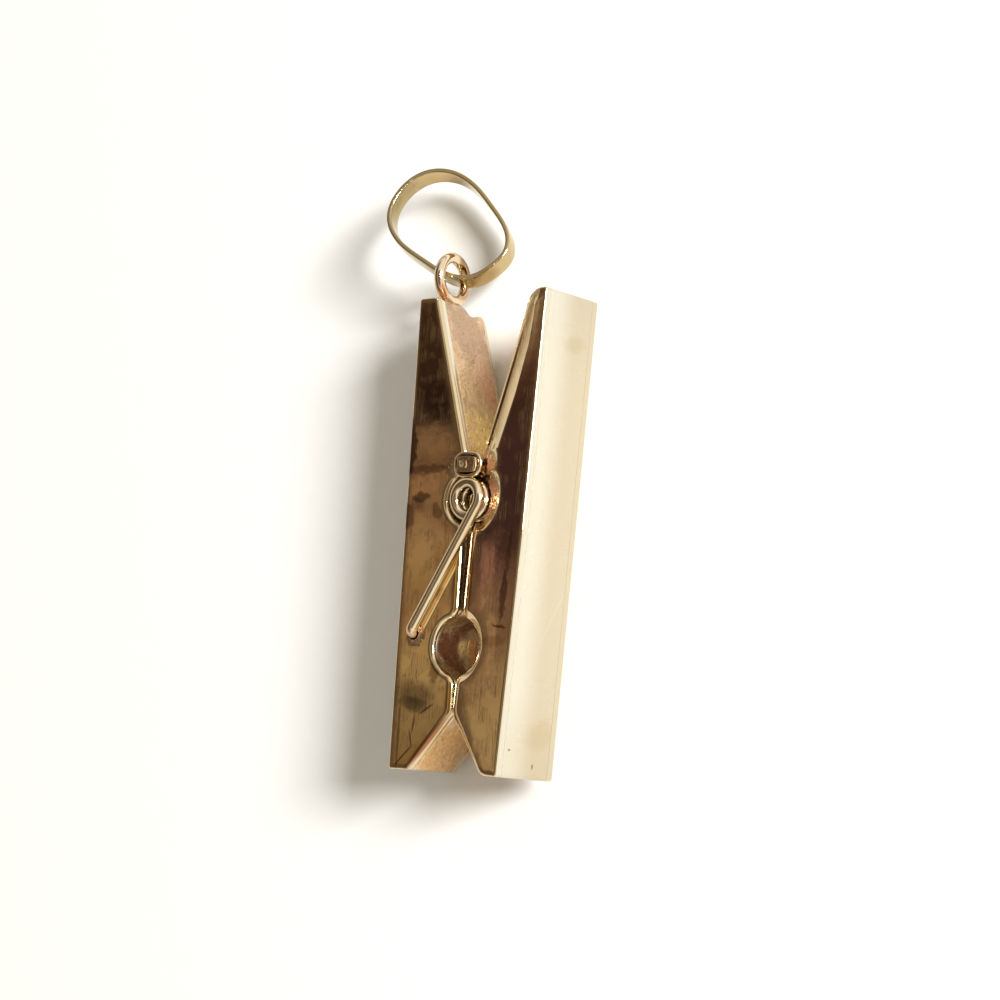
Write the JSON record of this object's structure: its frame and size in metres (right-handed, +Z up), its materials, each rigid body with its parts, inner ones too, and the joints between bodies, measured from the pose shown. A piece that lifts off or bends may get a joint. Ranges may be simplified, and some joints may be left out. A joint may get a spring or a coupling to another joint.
{
  "type": "clothespin charm",
  "caption": "Hollow gold pendant charm shaped like a spring clothespin, with a working hinge and coil spring, an eye and an oval band ring.",
  "frame": {"origin": "middle of the underside of the whole object's box, with the charm lying on its rear side", "axes": "+Z up out of the front face, +Y from the jaw tips to the handles and the ring, +X across from the half with the ring to the other half"},
  "size_m": [0.0128, 0.0328, 0.0055],
  "materials": {
    "cover_gold": null,
    "back_gold": "flat polished pale gold sheet with fine scratches",
    "strip_gold": "bent gold strip, brushed, with darker fire-stained patches",
    "hinge_gold": "drawn gold tube and wire, bright",
    "spring_gold": "hard drawn gold wire, polished",
    "eye_gold": "rose-tinted gold wire",
    "ring_gold": "greenish yellow gold flat band, polished",
    "solder": "rough pitted gold solder"
  },
  "bodies": {
    "left_half": {"left_front_cover": "cover_gold", "left_rear_cover": "cover_gold", "left_back_plate": "back_gold", "left_inner_strip": "strip_gold", "left_front_knuckle": "hinge_gold", "left_rear_knuckle": "hinge_gold", "hinge_pin": "hinge_gold", "left_hinge_solder": "solder", "torsion_spring": "spring_gold", "eye": "eye_gold", "eye_solder": "solder"},
    "right_half": {"right_front_cover": "cover_gold", "right_rear_cover": "cover_gold", "right_back_plate": "back_gold", "right_inner_strip": "strip_gold", "right_middle_knuckle": "hinge_gold", "right_hinge_solder": "solder"},
    "ring": {"jump_ring": "ring_gold", "ring_solder": "solder"}
  },
  "joints": [
    {"name": "jaw_hinge", "type": "hinge", "parent": "left_half", "child": "right_half", "pos_m": [0.00207, -0.00048, 0.00273], "axis": [0, 0, 1], "range_deg": [0, 35], "stiffness_Nm_per_rad": 0.0012, "springref_deg": -9.74, "deforming": ["torsion_spring"]},
    {"name": "ring_swing", "type": "hinge", "parent": "left_half", "child": "ring", "pos_m": [-0.00181, 0.01014, 0.00274], "axis": [0.9517, -0.1705, -0.2555], "range_deg": [-80, 80]}
  ]
}
